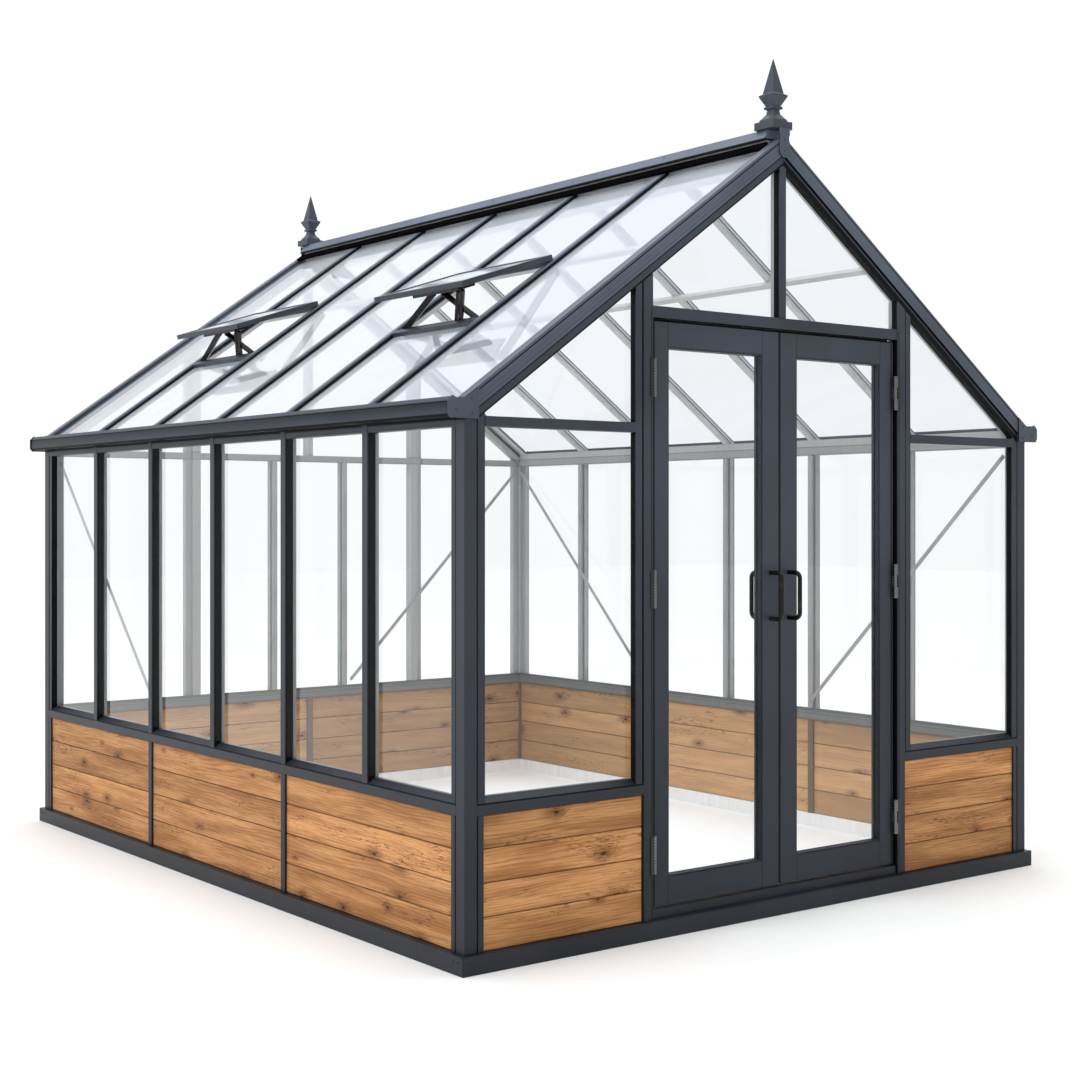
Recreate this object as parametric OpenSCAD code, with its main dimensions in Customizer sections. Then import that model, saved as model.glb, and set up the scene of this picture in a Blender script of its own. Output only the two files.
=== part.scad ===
// Glass greenhouse with a timber skirt, two roof vents and a pair of glazed doors.
// +X is to the right of somebody facing the doors, +Y runs back, +Z is up, in millimetres.
// The ground is at Z = 0 and the origin lies under the middle of everything the house covers.

/* [Overall] */
// Width over the corner posts
house_w = 2600; // [2200:10:3200]
// Length over the corner posts
house_l = 3200; // [2600:10:4200]
// Height of the roof line at the outer face of the side walls
eave_line_h = 1674; // [1500:2:2000]
// Slope of the roof in degrees
roof_pitch = 35.5; // [30:0.5:42]
// Number of glazing bays along each side
bays = 6; // [5:1:8]

/* [Base and skirt] */
// Height of the base rail
plinth_h = 56; // [40:1:90]
// Width of the base rail
plinth_w = 64; // [62:1:120]
// How far the base rail stands out from the posts
plinth_out = 18; // [10:1:30]
// Height of the top of the timber panels
skirt_top = 456; // [350:2:600]
// Thickness of the timber panels
skirt_t = 25; // [18:1:30]
// How far the timber panels are set back from the post faces
skirt_set = 8; // [4:1:12]
// Width of the upright bars between timber panels
divider_w = 28; // [20:1:40]
// Height of the front face of the sill rail
sill_face = 33; // [25:1:45]
// Height of the sloping lip on the sill rail
sill_lip = 18; // [10:1:24]

/* [Wall frame] */
// Side of the square corner posts, and depth of the whole wall frame
post = 44; // [40:1:60]
// Width of the sash stiles beside the posts
stile_w = 26; // [20:1:32]
// Width of the dark groove between a post and its stile
groove_w = 5; // [4:1:8]
// Depth of that groove
groove_d = 12; // [8:1:16]
// Width of the outside glazing bars
bar_w = 31; // [24:1:36]
// Width of the inside cover strips
strip_w = 24; // [18:1:28]
// Depth of the inside cover strips
strip_d = 13; // [10:1:18]
// Thickness of the glass
glass_t = 4; // [3:0.5:6]
// How far the glass lies behind the post faces
glass_set = 29; // [24:1:32]
// Height of the glazed part of the side walls above the ground
glass_top = 1590; // [1450:2:1800]
// Height of the gable transoms
transom_h = 31; // [24:1:40]

/* [Roof] */
// Height of the sloping barge boards, square to the slope
barge_h = 53; // [40:1:65]
// Thickness of the barge boards
barge_t = 40; // [30:1:50]
// How far the barge boards stand out from the post faces
barge_out = 4; // [2:1:8]
// Height of the inner gable frame under the barge boards
gable_frame_h = 26; // [20:1:34]
// Width of the roof glazing bars
roof_bar_w = 24; // [18:1:30]
// How far the roof bars lie below the roof line
roof_bar_set = 4; // [2:1:8]
// Depth of the roof bars
roof_bar_d = 16; // [12:1:26]
// Width of the rafter strips under the glass
rafter_w = 26; // [20:1:32]
// Depth of the rafter strips
rafter_d = 15; // [12:1:24]
// Width of the ridge beam
ridge_w = 60; // [50:1:70]
// Height of the ridge beam
ridge_h = 92; // [80:1:110]
// Width of the ridge capping
cap_w = 104; // [96:1:120]
// Gap between lengths of ridge capping
cap_gap = 1.5; // [1:0.5:3]
// Height of the gutter
gutter_h = 43; // [36:1:50]
// How far the gutter stands out from the posts
gutter_out = 60; // [54:1:70]
// Wall of the gutter
gutter_t = 4; // [3:0.5:5]

/* [Vents] */
// Distance from the roof edge up the slope to the lower trimmer
vent_low = 520; // [450:5:560]
// Distance from the roof edge up the slope to the vent hinges
vent_high = 900; // [850:5:960]
// Angle that the vents stand open
vent_open = 17.5; // [10:0.5:30]
// Width of the sash rails
sash_w = 26; // [20:1:32]
// Depth of the sash rails
sash_d = 19; // [14:1:24]
// Width of the trimmer bars
trimmer_w = 24; // [18:1:30]

/* [Doors] */
// Clear width between the door posts
door_open_w = 1152; // [1000:2:1300]
// Height of the underside of the door head
door_head_z = 1955; // [1850:5:2050]
// Height of the door head
door_head_h = 37; // [28:1:45]
// Width of the door posts
door_post_w = 39; // [32:1:46]
// Height of the threshold bar
threshold_h = 31; // [24:1:40]
// How far the door leaves are set back from the post faces
leaf_set = 16; // [12:1:20]
// Thickness of a door leaf
leaf_t = 38; // [32:1:44]
// Width of the hinge stiles
hinge_stile_w = 71; // [60:1:85]
// Width of the meeting stiles
meeting_stile_w = 75; // [60:1:85]
// Height of the top rail
top_rail_h = 78; // [60:1:90]
// Height of the bottom rail
bottom_rail_h = 88; // [70:1:110]
// Gap between the two leaves
meeting_gap = 10; // [9.5:0.5:14]
// Gap between a leaf and its post
jamb_gap = 5.5; // [5:0.5:8]
// Gap over a leaf
head_gap = 10; // [6:1:14]
// Gap under a leaf
foot_gap = 6; // [5:1:10]

/* [Hinges and pulls] */
// Height of a hinge
hinge_h = 120; // [90:2:140]
// Radius of a hinge knuckle
knuckle_r = 6.5; // [6:0.5:8]
// Radius of a hinge pin
pin_r = 3; // [2.5:0.5:4]
// Running gap between a pin and its knuckle
pin_gap = 0.1; // [0.1:0.05:0.2]
// Heights of the hinge centres
hinge_z = [261, 1098, 1765];
// Diameter of the bar of a pull
pull_d = 15; // [12:1:20]
// Overall height of a pull
pull_h = 168; // [140:2:220]
// How far a pull stands out from its leaf
pull_reach = 60; // [50:1:75]
// Height of the middle of the pulls
pull_z = 1063; // [900:1:1150]
// Bend radius of a pull, at the middle of its bar
pull_bend = 20; // [15:1:26]

/* [Finials] */
// Height of a finial
finial_h = 247; // [200:1:300]
// Side of the square slab under a finial
finial_w = 91; // [80:1:100]
// How far a finial's middle lies behind the gable face
finial_set = 46; // [44:1:60]

/* [Hidden] */
$fn = 48;

seat = 0.3;                       // gap where two pieces are seated on each other
frame_color = [0.23, 0.25, 0.28];
inner_color = [0.72, 0.74, 0.75];
timber_color = [0.74, 0.52, 0.31];
glass_color = [0.85, 0.92, 0.96, 0.45];
steel_color = [0.62, 0.62, 0.63];
bronze_color = [0.11, 0.09, 0.08];

half_w = round(house_w * 5) / 10;                   // half sizes, to a tenth of a millimetre
half_l = round(house_l * 5) / 10;
mid_y = (pull_reach - leaf_set - plinth_out) / 2;   // puts the origin under the middle
front_y = mid_y - half_l;
rear_y = mid_y + half_l;
inner_x = half_w - post;
bay = (2 * half_l - post) / bays;
sill_top = skirt_top + sill_face + sill_lip;
glass_back = glass_set + glass_t;
strip_set = glass_back + seat;
open_half = door_open_w / 2;
post_out_x = open_half + door_post_w;               // outer face of a door post

tan_p = tan(roof_pitch);
cos_p = cos(roof_pitch);
sin_p = sin(roof_pitch);
apex_z = eave_line_h + half_w * tan_p;
roof_glass_t0 = roof_bar_set + roof_bar_d + seat;   // top of the roof glass, below the roof line
rafter_t0 = roof_glass_t0 + glass_t + seat;
rafter_t1 = rafter_t0 + rafter_d;
frame_drop = barge_h + seat + gable_frame_h;        // inner gable frame's lower edge
transom_top = glass_top + transom_h;
cap_top_z = apex_z + 26;
cap_seat_z = apex_z - 9;
ridge_x = ridge_w / 2 + seat;
barge_back = barge_t - barge_out + seat;            // just behind the barge boards
roof_front = front_y + barge_back;
frame_back = front_y + post + seat;                 // just behind the gable frames

function bar_y(i) = front_y + post / 2 + bay * i;
// Height of the roof line, less a drop measured square to the slope
function roof_z(x, drop = 0) = apex_z - abs(x) * tan_p - drop / cos_p;
// Distance up the slope at which a point at the given drop lies at the given half width
function slope_s(x, drop = 0) = (half_w - x - drop * sin_p) / cos_p;

// ---- helpers ----

module box(a, b) {
    translate(a) cube(b - a);
}

module both_ends() {
    children();
    translate([0, 2 * mid_y, 0]) mirror([0, 1, 0]) children();
}

module both_sides() {
    children();
    mirror([1, 0, 0]) children();
}

// Outline in X and Z, from depth d0 to depth d1 behind the front post faces
module gable_sheet(points, d0, d1) {
    translate([0, front_y + d1, 0]) rotate([90, 0, 0]) linear_extrude(d1 - d0) polygon(points);
}

// Outline of depth and height, along the left wall
module side_run(points, y0, y1) {
    translate([-half_w, y1, 0]) rotate([90, 0, 0]) linear_extrude(y1 - y0) polygon(points);
}

// Outline of depth and height, along the front wall
module front_run(points, x0, x1) {
    translate([x0, front_y, 0]) rotate([90, 0, 90]) linear_extrude(x1 - x0) polygon(points);
}

// Places children whose X is up the left slope and whose Z is square to the roof line
module left_slope() {
    translate([-half_w, 0, eave_line_h]) rotate([0, -roof_pitch, 0]) children();
}

// Flat bar between two points
module link(p, q, width, depth) {
    d = q - p;
    span = norm(d);
    translate(p) rotate([0, -asin(d[2] / span), atan2(d[1], d[0])])
        translate([0, -width / 2, -depth / 2]) cube([span, width, depth]);
}

// ---- base and skirt ----

module plinth() {
    xo = half_w + plinth_out;
    yo = half_l + plinth_out;
    xi = xo - plinth_w;
    yi = yo - plinth_w;
    color(frame_color) translate([0, mid_y, 0]) {
        for (k = [-1, 1]) {
            linear_extrude(plinth_h) polygon([[-xo + seat, k * yo], [xo - seat, k * yo],
                [xi - seat, k * yi], [-xi + seat, k * yi]]);
            linear_extrude(plinth_h) polygon([[k * xo, -yo + seat], [k * xo, yo - seat],
                [k * xi, yi - seat], [k * xi, -yi + seat]]);
        }
    }
}

module corner_posts() {
    color(frame_color) both_ends() both_sides()
        gable_sheet([[-half_w, plinth_h], [-inner_x, plinth_h],
            [-inner_x, roof_z(inner_x, barge_h + seat)],
            [-half_w, roof_z(half_w, barge_h + seat)]], 0, post);
}

sill_profile = [[0, skirt_top], [0, skirt_top + sill_face], [glass_set - 1, sill_top],
    [post, sill_top], [post, skirt_top]];

module front_sill() {
    front_run(sill_profile, -inner_x, -post_out_x);
}

module side_sill() {
    side_run(sill_profile, front_y + post, rear_y - post);
}

module rear_sill() {
    translate([0, 2 * mid_y, 0]) mirror([0, 1, 0])
        front_run(sill_profile, -inner_x, inner_x);
}

module sill_rails() {
    color(frame_color) {
        both_sides() {
            front_sill();
            side_sill();
        }
        rear_sill();
    }
}

bar_foot = skirt_top + sill_face / 2;               // inside the sills, before they are cut away

// Keeps what stands on the sills, cut to their sloping tops
module on_sills() {
    difference() {
        children();
        translate([0, 0, seat]) {
            both_sides() {
                front_sill();
                side_sill();
            }
            rear_sill();
        }
    }
}

module skirt_dividers() {
    color(frame_color) {
        both_sides() for (i = [2 : 2 : bays - 1])
            box([-half_w, bar_y(i) - divider_w / 2, plinth_h],
                [-inner_x, bar_y(i) + divider_w / 2, skirt_top]);
        box([-divider_w / 2, rear_y - post, plinth_h], [divider_w / 2, rear_y, skirt_top]);
    }
}

module side_skirt_panels() {
    color(timber_color) both_sides() for (i = [0 : 2 : bays - 1]) {
        y0 = i == 0 ? front_y + post : bar_y(i) + divider_w / 2;
        y1 = i + 2 > bays - 1 ? rear_y - post : bar_y(i + 2) - divider_w / 2;
        box([-half_w + skirt_set, y0 + seat, plinth_h + seat],
            [-half_w + skirt_set + skirt_t, y1 - seat, skirt_top - seat]);
    }
}

module gable_skirt(x0, x1) {
    box([x0 + seat, front_y + skirt_set, plinth_h + seat],
        [x1 - seat, front_y + skirt_set + skirt_t, skirt_top - seat]);
}

module front_skirt_panels() {
    color(timber_color) both_sides() gable_skirt(-inner_x, -post_out_x);
}

module rear_skirt_panels() {
    color(timber_color) translate([0, 2 * mid_y, 0]) mirror([0, 1, 0]) both_sides()
        gable_skirt(-inner_x, -divider_w / 2);
}

// ---- side walls ----

module eave_beams() {
    drop = rafter_t1 + seat;
    color(frame_color) both_sides()
        side_run([[0, glass_top], [post, glass_top], [post, roof_z(inner_x, drop)],
            [0, roof_z(half_w, drop)]], front_y + post, rear_y - post);
}

gutter_top_z = eave_line_h - 16;                    // top of the gutter's upright face
gutter_low_z = gutter_top_z - gutter_h;

module gutters() {
    o = gutter_out;
    t = gutter_t;
    back_z = roof_z(half_w + t, roof_glass_t0 + glass_t + seat);
    color(frame_color) both_sides()
        side_run([[0, gutter_low_z], [-o + 5, gutter_low_z], [-o, gutter_low_z + 7],
            [-o, gutter_top_z], [-o + 12, gutter_top_z + 16], [-o + 15, gutter_top_z + 14],
            [-o + t, gutter_top_z - 1], [-o + t, gutter_low_z + 9],
            [-o + 8, gutter_low_z + t], [-t, gutter_low_z + t], [-t, back_z], [0, back_z]],
            front_y - barge_out, rear_y + barge_out);
}

plate_t = 5;                                        // thickness of the gable plates

// Plates over the gutter ends and the ridge, on the faces of the barge boards
module gable_plates() {
    o = half_w + gutter_out + 4;
    low = gutter_low_z - 4;
    in_x = inner_x - 2;
    r = 24;
    tip = apex_z - 73;
    color(frame_color) both_ends() {
        both_sides() gable_sheet([[-o, low + 12], [-o + 9, low], [-in_x, low],
            [-in_x, roof_z(in_x) - 4], [-half_w + 6, roof_z(half_w - 6) - 4],
            [-half_w - 18, roof_z(half_w) - 10], [-o + 16, gutter_top_z + 18],
            [-o, gutter_top_z + 2]], -barge_out - plate_t, -barge_out);
        translate([0, front_y - barge_out, 0]) rotate([90, 0, 0]) linear_extrude(plate_t)
            difference() {
                union() {
                    translate([-r, tip + r]) square([2 * r, cap_top_z - tip - r]);
                    translate([0, tip + r]) circle(r);
                }
                for (k = [-1, 1]) translate([k * (r + 22), cap_top_z - 34]) circle(26);
            }
    }
}

// Stile with the groove that divides it from its post, in plan, starting at the post
function stile_plan(wide) = [[0, groove_d], [groove_w, groove_d], [groove_w, 2],
    [groove_w + wide, 2], [groove_w + wide, glass_set - seat], [0, glass_set - seat]];

module front_stile(x, k) {
    intersection() {
        translate([x, front_y, bar_foot]) mirror([k < 0 ? 1 : 0, 0, 0])
            linear_extrude(apex_z - bar_foot) polygon(stile_plan(stile_w));
        gable_sheet([[-half_w, 0], [half_w, 0], [half_w, roof_z(half_w, frame_drop + seat)],
            [0, roof_z(0, frame_drop + seat)], [-half_w, roof_z(half_w, frame_drop + seat)]],
            0, post);
    }
}

module sash_stiles() {
    color(frame_color) on_sills() {
        both_ends() both_sides() {
            front_stile(-inner_x, 1);
            front_stile(-post_out_x, -1);
            translate([-half_w, front_y + post, bar_foot]) rotate([0, 0, 90]) mirror([0, 1, 0])
                linear_extrude(glass_top - seat - bar_foot) polygon(stile_plan(stile_w - 5));
        }
    }
}

rear_bar_x = door_open_w / 6;                       // the two bars between the rear posts

module wall_bars() {
    color(frame_color) on_sills() {
        both_sides() for (i = [1 : bays - 1])
            box([-half_w, bar_y(i) - bar_w / 2, bar_foot],
                [-half_w + glass_set - seat, bar_y(i) + bar_w / 2, glass_top]);
        both_sides() box([-rear_bar_x - bar_w / 2, rear_y - glass_set + seat, bar_foot],
            [-rear_bar_x + bar_w / 2, rear_y, glass_top]);
    }
}

// Inside strips that hold the glass against the bars
module cover_strips() {
    color(inner_color) both_sides() {
        for (i = [1 : bays - 1])
            box([-half_w + strip_set, bar_y(i) - strip_w / 2, sill_top + seat],
                [-half_w + strip_set + strip_d, bar_y(i) + strip_w / 2, glass_top - seat]);
        box([-rear_bar_x - strip_w / 2, rear_y - strip_set - strip_d, sill_top + seat],
            [-rear_bar_x + strip_w / 2, rear_y - strip_set, glass_top - seat]);
    }
}

// ---- gables ----

module gable_transoms() {
    stile_end = groove_w + stile_w + seat;
    color(frame_color) {
        both_ends() both_sides()
            box([-inner_x + stile_end, front_y, glass_top],
                [-post_out_x - stile_end, front_y + post, transom_top]);
        box([-open_half, rear_y - post, glass_top], [open_half, rear_y, transom_top]);
    }
}

// Left gable post: the front ones stand on the base rail, the rear ones on the sill
module gable_post(foot_z) {
    gable_sheet([[-post_out_x, foot_z], [-open_half, foot_z],
        [-open_half, roof_z(open_half, frame_drop + seat)],
        [-post_out_x, roof_z(post_out_x, frame_drop + seat)]], 0, post);
}

module gable_posts() {
    color(frame_color) both_sides() {
        gable_post(plinth_h);
        on_sills() translate([0, 2 * mid_y, 0]) mirror([0, 1, 0]) gable_post(bar_foot);
    }
}

module door_head() {
    color(frame_color) box([-open_half, front_y + 3, door_head_z],
        [open_half, front_y + post, door_head_z + door_head_h]);
}

module threshold() {
    color(frame_color) box([-open_half, front_y + 8, plinth_h],
        [open_half, front_y + post, plinth_h + threshold_h]);
}

king_w = 30;                                        // width of the king posts

module king_post(foot_z) {
    gable_sheet([[-king_w / 2, foot_z], [king_w / 2, foot_z],
        [king_w / 2, roof_z(king_w / 2, frame_drop + seat)], [0, roof_z(0, frame_drop + seat)],
        [-king_w / 2, roof_z(king_w / 2, frame_drop + seat)]], 0, post);
}

module king_posts() {
    color(frame_color) {
        king_post(door_head_z + door_head_h);
        translate([0, 2 * mid_y, 0]) mirror([0, 1, 0]) king_post(transom_top);
    }
}

module gable_frames() {
    drop = barge_h + seat;
    color(frame_color) both_ends() both_sides()
        gable_sheet([[-inner_x + seat, roof_z(inner_x - seat, frame_drop)],
            [-seat / 2, roof_z(seat / 2, frame_drop)], [-seat / 2, roof_z(seat / 2, drop)],
            [-inner_x + seat, roof_z(inner_x - seat, drop)]], 2, post - 4);
}

module barge_boards() {
    color(frame_color) both_ends() both_sides()
        gable_sheet([[-half_w, roof_z(half_w, barge_h)], [-seat / 2, roof_z(seat / 2, barge_h)],
            [-seat / 2, roof_z(seat / 2)], [-half_w, roof_z(half_w)]],
            -barge_out, barge_t - barge_out);
}

// Heights and half widths of a finial's square section, as shares of its own size
finial_steps = [[0, 0.5], [0.105, 0.5], [0.105, 0.38], [0.14, 0.36], [0.18, 0.27],
    [0.22, 0.19], [0.275, 0.165], [0.29, 0.25], [0.315, 0.25], [0.33, 0.2], [0.45, 0.37],
    [0.475, 0.39], [0.5, 0.28], [1, 0]];

module finials() {
    n = len(finial_steps);
    profile = [for (p = finial_steps) [p[1] * finial_w * sqrt(2), p[0] * finial_h]];
    color(frame_color) both_ends()
        translate([0, front_y + finial_set, cap_top_z + seat]) rotate([0, 0, 45])
            rotate_extrude($fn = 4) polygon(concat([[0, 0]], profile));
}

// ---- roof ----

module ridge_beam() {
    color(frame_color) box([-ridge_w / 2, frame_back, cap_seat_z - ridge_h],
        [ridge_w / 2, 2 * mid_y - frame_back, cap_seat_z]);
}

module ridge_cap() {
    h = cap_w / 2;
    flat = h - 20;                                  // half width of the flat top
    low = cap_seat_z - 5;
    top = cap_top_z;
    outline = [[-h, low], [-h, low + 8], [-flat, top], [flat, top], [h, low + 8], [h, low],
        [h - 6, low], [h - 6, cap_seat_z + seat], [-h + 6, cap_seat_z + seat], [-h + 6, low]];
    run = (rear_y - barge_back - roof_front) / bays;
    color(frame_color) for (i = [0 : bays - 1])
        translate([0, roof_front + run * (i + 1) - cap_gap, 0]) rotate([90, 0, 0])
            linear_extrude(run - cap_gap) polygon(outline);
}

flashing_s = slope_s(ridge_x, roof_bar_set - seat); // upper edge of the ridge flashings

module ridge_flashings() {
    color(frame_color) both_sides() left_slope()
        box([flashing_s - 44, roof_front, -roof_bar_set + seat],
            [flashing_s, 2 * mid_y - roof_front, 8]);
}

roof_pane_low = -32;                                // lower edge of the roof glass on the slope
bar_low = roof_pane_low + 2;

module roof_bars() {
    top_s = slope_s(ridge_x, roof_bar_set + roof_bar_d);
    color(frame_color) both_sides() left_slope() for (i = [1 : bays - 1])
        box([bar_low, bar_y(i) - roof_bar_w / 2, -roof_bar_set - roof_bar_d],
            [top_s, bar_y(i) + roof_bar_w / 2, -roof_bar_set]);
}

// Stops at the foot of each roof bar
module bar_end_clips() {
    color(frame_color) both_sides() left_slope() for (i = [1 : bays - 1])
        box([bar_low - 12, bar_y(i) - 15, -roof_bar_set - roof_bar_d],
            [bar_low - seat, bar_y(i) + 15, 0]);
}

module rafter_strips() {
    top_s = slope_s(ridge_x, rafter_t1);
    color(inner_color) both_sides() left_slope() {
        for (i = [1 : bays - 1])
            box([-8, bar_y(i) - rafter_w / 2, -rafter_t1],
                [top_s, bar_y(i) + rafter_w / 2, -rafter_t0]);
        box([-8, roof_front, -rafter_t1], [top_s, roof_front + rafter_w, -rafter_t0]);
        box([-8, 2 * mid_y - roof_front - rafter_w, -rafter_t1],
            [top_s, 2 * mid_y - roof_front, -rafter_t0]);
    }
}

vent_bays = [1, bays - 2];                          // second bay from each end

module vent_trimmers() {
    color(frame_color) left_slope() for (i = vent_bays, s = [vent_low, vent_high])
        box([s, bar_y(i) + roof_bar_w / 2 + seat, -roof_bar_set - roof_bar_d],
            [s + trimmer_w, bar_y(i + 1) - roof_bar_w / 2 - seat, -roof_bar_set]);
}

sash_len = vent_high + trimmer_w / 2 - vent_low;
sash_side = 9;                                      // how far a sash laps past the bar middles

// Places children in a vent sash: X runs down it from the hinges, Z is its thickness
module in_sash() {
    left_slope() translate([vent_high + trimmer_w / 2, 0, -roof_bar_set + seat])
        rotate([0, vent_open, 0]) mirror([1, 0, 0]) children();
}

module vent_sashes() {
    w = sash_w;
    color(frame_color) in_sash() for (i = vent_bays) {
        y0 = bar_y(i) - sash_side;
        y1 = bar_y(i + 1) + sash_side;
        box([0, y0, 0], [sash_len, y0 + w, sash_d]);
        box([0, y1 - w, 0], [sash_len, y1, sash_d]);
        box([0, y0 + w + seat, 0], [w, y1 - w - seat, sash_d]);
        box([sash_len - w, y0 + w + seat, 0], [sash_len, y1 - w - seat, sash_d]);
    }
}

module vent_glass() {
    w = sash_w + seat;
    z = sash_d - 3 - glass_t;
    color(glass_color) in_sash() for (i = vent_bays)
        box([w, bar_y(i) - sash_side + w, z],
            [sash_len - w, bar_y(i + 1) + sash_side - w, z + glass_t]);
}

// Openers: struts from a plate on the lower trimmer to one under the sash, and levers inside
module vent_openers() {
    foot = vent_low + trimmer_w + seat;
    end = bay / 2 - roof_bar_w / 2 - 26;            // half length of the foot plate
    ankle = foot + 8;                               // struts start here, just under the plate's top
    head = foot + 26;
    head_t = sash_len * sin(vent_open) - roof_bar_set - 22;
    strut = 12;
    pair = 24;                                      // pitch of the twin struts
    knee = foot + 40;                               // the flat lever bends here, below the glass
    knee_t = -60;
    crank = foot + 12;                              // the inner lever bends here
    crank_t = -128;
    color(bronze_color) for (i = vent_bays) union() {
        c = (bar_y(i) + bar_y(i + 1)) / 2;
        near = c + end - strut;
        far = c - end + strut;
        left_slope() {
            box([foot, c - end, -46], [foot + 6, c + end, -roof_bar_set]);
            for (k = [0, pair]) {
                link([ankle, near - k, -10], [head, c - 20 - k, head_t], strut, strut);
                link([ankle, far + 75 + k, -10], [head - 8, far - 8 + k, head_t], strut, strut);
            }
            link([head, c - 96, head_t], [knee, far - 2, knee_t], 20, 8);
            link([knee, far - 2, knee_t], [knee + 110, c - 20, knee_t - 36], 20, 8);
            link([foot + 3, c + 40, -40], [crank, c + 96, crank_t], 22, 6);
            link([crank, c + 96, crank_t + 2], [knee, far + 28, crank_t + 10], 6, 22);
        }
        in_sash() box([sash_len - 76, c - end - 8, -10], [sash_len - 6, c + 40, -seat]);
    }
}

// ---- glass ----

module left_wall_glass() {
    color(glass_color) for (i = [0 : bays - 1])
        box([-half_w + glass_set, i == 0 ? front_y + post + seat : bar_y(i) + 1, sill_top + seat],
            [-half_w + glass_back, i == bays - 1 ? rear_y - post - seat : bar_y(i + 1) - 1,
                glass_top - seat]);
}

module right_wall_glass() {
    mirror([1, 0, 0]) left_wall_glass();
}

// Panes of the left half of a gable beside the door post: below and above the transom
module gable_side_panes() {
    x0 = -inner_x + seat;
    x1 = -post_out_x - seat;
    drop = frame_drop + seat;
    z1 = transom_top + seat;
    corner_x = (apex_z - drop / cos_p - z1) / tan_p;
    gable_sheet([[x0, sill_top + seat], [x1, sill_top + seat], [x1, glass_top - seat],
        [x0, glass_top - seat]], glass_set, glass_back);
    gable_sheet([[-min(corner_x, -x0), z1], [x1, z1], [x1, roof_z(x1, drop)]],
        glass_set, glass_back);
}

// Pane of the left half of a gable above the door head or the middle transom
module gable_top_pane(foot_z) {
    x0 = -open_half + seat;
    x1 = -king_w / 2 - seat;
    drop = frame_drop + seat;
    gable_sheet([[x0, foot_z], [x1, foot_z], [x1, roof_z(x1, drop)], [x0, roof_z(x0, drop)]],
        glass_set, glass_back);
}

module front_glass() {
    color(glass_color) both_sides() {
        gable_side_panes();
        gable_top_pane(door_head_z + door_head_h + seat);
    }
}

module rear_glass() {
    color(glass_color) translate([0, 2 * mid_y, 0]) mirror([0, 1, 0]) {
        both_sides() {
            gable_side_panes();
            gable_top_pane(transom_top + seat);
            box([-open_half + seat, front_y + glass_set, sill_top + seat],
                [-rear_bar_x - 1, front_y + glass_back, glass_top - seat]);
        }
        box([-rear_bar_x + 1, front_y + glass_set, sill_top + seat],
            [rear_bar_x - 1, front_y + glass_back, glass_top - seat]);
    }
}

roof_pane_high = slope_s(ridge_x, roof_glass_t0 + glass_t);

module roof_pane(i, s0, s1) {
    y0 = i == 0 ? roof_front : bar_y(i) + 1;
    y1 = i == bays - 1 ? 2 * mid_y - roof_front : bar_y(i + 1) - 1;
    box([s0, y0, -roof_glass_t0 - glass_t], [s1, y1, -roof_glass_t0]);
}

module left_roof_glass() {
    vented = function(i) i == vent_bays[0] || i == vent_bays[1];
    color(glass_color) left_slope() for (i = [0 : bays - 1]) {
        if (vented(i)) {
            roof_pane(i, roof_pane_low, vent_low + trimmer_w - 4);
            roof_pane(i, vent_high + 4, roof_pane_high);
        } else {
            roof_pane(i, roof_pane_low, roof_pane_high);
        }
    }
}

module right_roof_glass() {
    color(glass_color) mirror([1, 0, 0]) left_slope() for (i = [0 : bays - 1])
        roof_pane(i, roof_pane_low, roof_pane_high);
}

// ---- bracing ----

brace_w = 17;                                       // width of the flat braces
brace_t = 4;
brace_x = half_w - strip_set - strip_d - seat - brace_t / 2;

module braces() {
    top = glass_top - 30;
    low = sill_top + 24;
    y = rear_y - post - seat - brace_t / 2;
    color(inner_color) {
        both_sides() link([-brace_x, rear_y - post - 16, top], [-brace_x, bar_y(bays - 2), low],
            brace_t, brace_w);
        link([brace_x, front_y + post + 16, top], [brace_x, bar_y(2), low], brace_t, brace_w);
        link([inner_x - 30, y, top], [rear_bar_x + 30, y, low], brace_t, brace_w);
    }
}

purlin_x = 484;                                     // distance of the purlins from the ridge line

module purlins() {
    s = slope_s(purlin_x, rafter_t1);
    color(inner_color) both_sides() left_slope()
        box([s - 12, frame_back, -rafter_t1 - seat - 18],
            [s + 12, 2 * mid_y - frame_back, -rafter_t1 - seat]);
}

// ---- doors ----

leaf_z0 = plinth_h + threshold_h + foot_gap;
leaf_z1 = door_head_z - head_gap;
leaf_x0 = -open_half + jamb_gap;                    // hinge edge of the left leaf
leaf_x1 = -meeting_gap / 2;                         // meeting edge of the left leaf
leaf_y0 = front_y + leaf_set;
leaf_y1 = leaf_y0 + leaf_t;
hinge_x = -open_half + knuckle_r + 2;               // left hinge axis
hinge_y = front_y + knuckle_r - 2.5;
knuckle_h = (hinge_h - 2) / 3;                      // three knuckles with 1 mm between them

// Door post half of one hinge: flap, end knuckles and the pin, in the left doorway
module jamb_hinge(z) {
    z0 = z - hinge_h / 2;
    flap_x = -open_half - 12;
    for (k = [z0, z0 + 2 * (knuckle_h + 1)]) {
        translate([hinge_x, hinge_y, k]) cylinder(h = knuckle_h, r = knuckle_r);
        box([flap_x, front_y - 2.5, k], [hinge_x, front_y, k + knuckle_h]);
    }
    box([flap_x, front_y - 2.5, z0], [-open_half + 1, front_y, z0 + hinge_h]);
    translate([hinge_x, hinge_y, z0]) cylinder(h = hinge_h, r = pin_r);
}

module jamb_hinges() {
    color(steel_color) both_sides() for (z = hinge_z) jamb_hinge(z);
}

module leaf_hinges() {
    for (z = hinge_z) translate([hinge_x, hinge_y, z - knuckle_h / 2]) difference() {
        union() {
            cylinder(h = knuckle_h, r = knuckle_r);
            translate([-2, 0, 0]) cube([4, leaf_y0 - hinge_y, knuckle_h]);
        }
        translate([0, 0, -1]) cylinder(h = knuckle_h + 2, r = pin_r + pin_gap);
    }
}

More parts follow.
